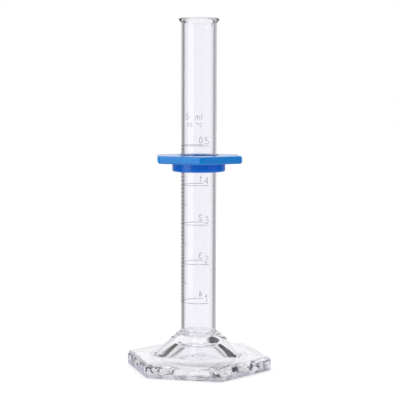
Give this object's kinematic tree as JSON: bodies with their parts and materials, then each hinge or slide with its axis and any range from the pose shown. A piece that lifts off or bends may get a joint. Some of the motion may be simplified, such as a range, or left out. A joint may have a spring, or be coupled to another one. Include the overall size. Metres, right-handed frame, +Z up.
{
  "type": "graduated cylinder",
  "caption": "Clear glass graduated cylinder on a hexagonal foot, with a pouring spout and a blue hexagonal bumper guard that slides on the tube.",
  "frame": {"origin": "centre of the foot's underside, on the surface it stands on", "axes": "+Z up the tube, +X towards one corner of the hexagonal foot"},
  "size_m": [0.0486, 0.0426, 0.115],
  "materials": {
    "clear_glass": "clear, fire polished",
    "blue_guard": "moulded, satin gloss",
    "grey_enamel": "fired-on enamel, satin"
  },
  "bodies": {
    "cylinder": {"graduated_tube": "clear_glass", "hexagonal_foot": "clear_glass", "ml_lines": "grey_enamel", "half_ml_lines": "grey_enamel", "tenth_ml_lines": "grey_enamel", "rising_numerals": "grey_enamel", "falling_numerals": "grey_enamel", "capacity_mark": "grey_enamel"},
    "guard": {"bumper_guard": "blue_guard"}
  },
  "joints": [
    {"name": "guard_slide", "type": "slide", "parent": "cylinder", "child": "guard", "axis": [0, 0, 1], "range_m": [-0.0529, 0.0412]}
  ]
}
